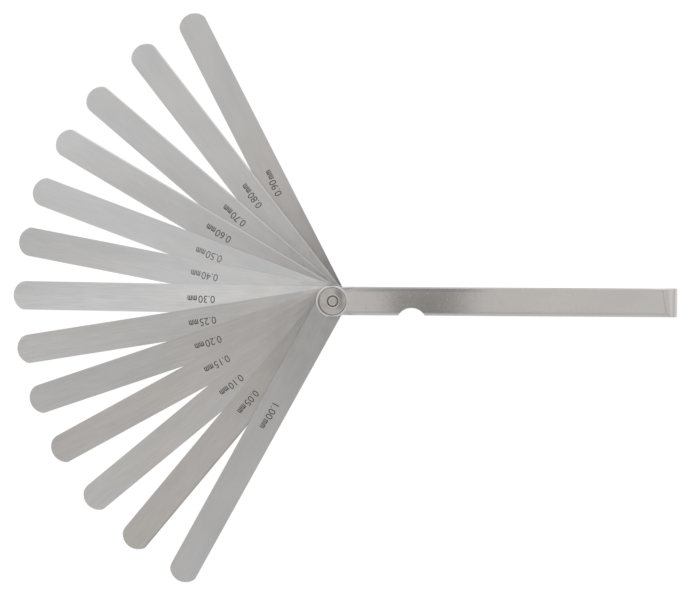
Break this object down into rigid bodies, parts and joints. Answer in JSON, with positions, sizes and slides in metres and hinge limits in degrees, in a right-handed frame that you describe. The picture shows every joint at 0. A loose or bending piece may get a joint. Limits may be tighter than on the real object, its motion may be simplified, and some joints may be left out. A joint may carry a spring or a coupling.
{
  "type": "feeler gauge",
  "caption": "Straight steel thickness leaves that fan out from a clamping screw at the end of a long U-bent steel holder, for measuring narrow gaps.",
  "frame": {"origin": "on the pivot axis, at the flat outer face of the clamping screw's head, which the gauge rests on", "axes": "+X along the holder from the pivot to its bend; +Z along the pivot axis, from the screw head to the round nut"},
  "size_m": [0.2944, 0.2529, 0.0123],
  "materials": {
    "holder_steel": "smooth nickel-plated spring steel strip",
    "leaf_steel": "finely ground hardened spring steel, grain lengthwise",
    "screw_steel": "turned and knurled steel, lightly plated",
    "nut_steel": "turned steel, plated, concentric tool marks"
  },
  "bodies": {
    "holder": {"holder": "holder_steel", "lock_nut": "nut_steel"},
    "leaf_0_90": {"leaf_0_90": "leaf_steel"},
    "leaf_0_80": {"leaf_0_80": "leaf_steel"},
    "leaf_0_70": {"leaf_0_70": "leaf_steel"},
    "leaf_0_60": {"leaf_0_60": "leaf_steel"},
    "leaf_0_50": {"leaf_0_50": "leaf_steel"},
    "leaf_0_40": {"leaf_0_40": "leaf_steel"},
    "leaf_0_30": {"leaf_0_30": "leaf_steel"},
    "leaf_0_25": {"leaf_0_25": "leaf_steel"},
    "leaf_0_20": {"leaf_0_20": "leaf_steel"},
    "leaf_0_15": {"leaf_0_15": "leaf_steel"},
    "leaf_0_10": {"leaf_0_10": "leaf_steel"},
    "leaf_0_05": {"leaf_0_05": "leaf_steel"},
    "leaf_1_00": {"leaf_1_00": "leaf_steel"},
    "clamp_screw": {"clamp_screw": "screw_steel"}
  },
  "joints": [
    {"name": "leaf_0_90_swing", "type": "hinge", "parent": "holder", "child": "leaf_0_90", "pos_m": [0, 0, 0], "axis": [0, 0, 1], "range_deg": [-117.3, 242.7]},
    {"name": "leaf_0_80_swing", "type": "hinge", "parent": "holder", "child": "leaf_0_80", "pos_m": [0, 0, 0], "axis": [0, 0, 1], "range_deg": [-128, 232]},
    {"name": "leaf_0_70_swing", "type": "hinge", "parent": "holder", "child": "leaf_0_70", "pos_m": [0, 0, 0], "axis": [0, 0, 1], "range_deg": [-139.7, 220.3]},
    {"name": "leaf_0_60_swing", "type": "hinge", "parent": "holder", "child": "leaf_0_60", "pos_m": [0, 0, 0], "axis": [0, 0, 1], "range_deg": [-149.6, 210.4]},
    {"name": "leaf_0_50_swing", "type": "hinge", "parent": "holder", "child": "leaf_0_50", "pos_m": [0, 0, 0], "axis": [0, 0, 1], "range_deg": [-159.7, 200.3]},
    {"name": "leaf_0_40_swing", "type": "hinge", "parent": "holder", "child": "leaf_0_40", "pos_m": [0, 0, 0], "axis": [0, 0, 1], "range_deg": [-169.3, 190.7]},
    {"name": "leaf_0_30_swing", "type": "hinge", "parent": "holder", "child": "leaf_0_30", "pos_m": [0, 0, 0], "axis": [0, 0, 1], "range_deg": [-179.3, 180.7]},
    {"name": "leaf_0_25_swing", "type": "hinge", "parent": "holder", "child": "leaf_0_25", "pos_m": [0, 0, 0], "axis": [0, 0, 1], "range_deg": [-189.3, 170.7]},
    {"name": "leaf_0_20_swing", "type": "hinge", "parent": "holder", "child": "leaf_0_20", "pos_m": [0, 0, 0], "axis": [0, 0, 1], "range_deg": [-198.9, 161.1]},
    {"name": "leaf_0_15_swing", "type": "hinge", "parent": "holder", "child": "leaf_0_15", "pos_m": [0, 0, 0], "axis": [0, 0, 1], "range_deg": [-209, 151]},
    {"name": "leaf_0_10_swing", "type": "hinge", "parent": "holder", "child": "leaf_0_10", "pos_m": [0, 0, 0], "axis": [0, 0, 1], "range_deg": [-219.9, 140.1]},
    {"name": "leaf_0_05_swing", "type": "hinge", "parent": "holder", "child": "leaf_0_05", "pos_m": [0, 0, 0], "axis": [0, 0, 1], "range_deg": [-230.4, 129.6]},
    {"name": "leaf_1_00_swing", "type": "hinge", "parent": "holder", "child": "leaf_1_00", "pos_m": [0, 0, 0], "axis": [0, 0, 1], "range_deg": [-241.3, 118.7]},
    {"name": "clamp_screw_turn", "type": "hinge", "parent": "holder", "child": "clamp_screw", "pos_m": [0, 0, 0], "axis": [0, 0, -1], "range_deg": [0, 180]}
  ]
}
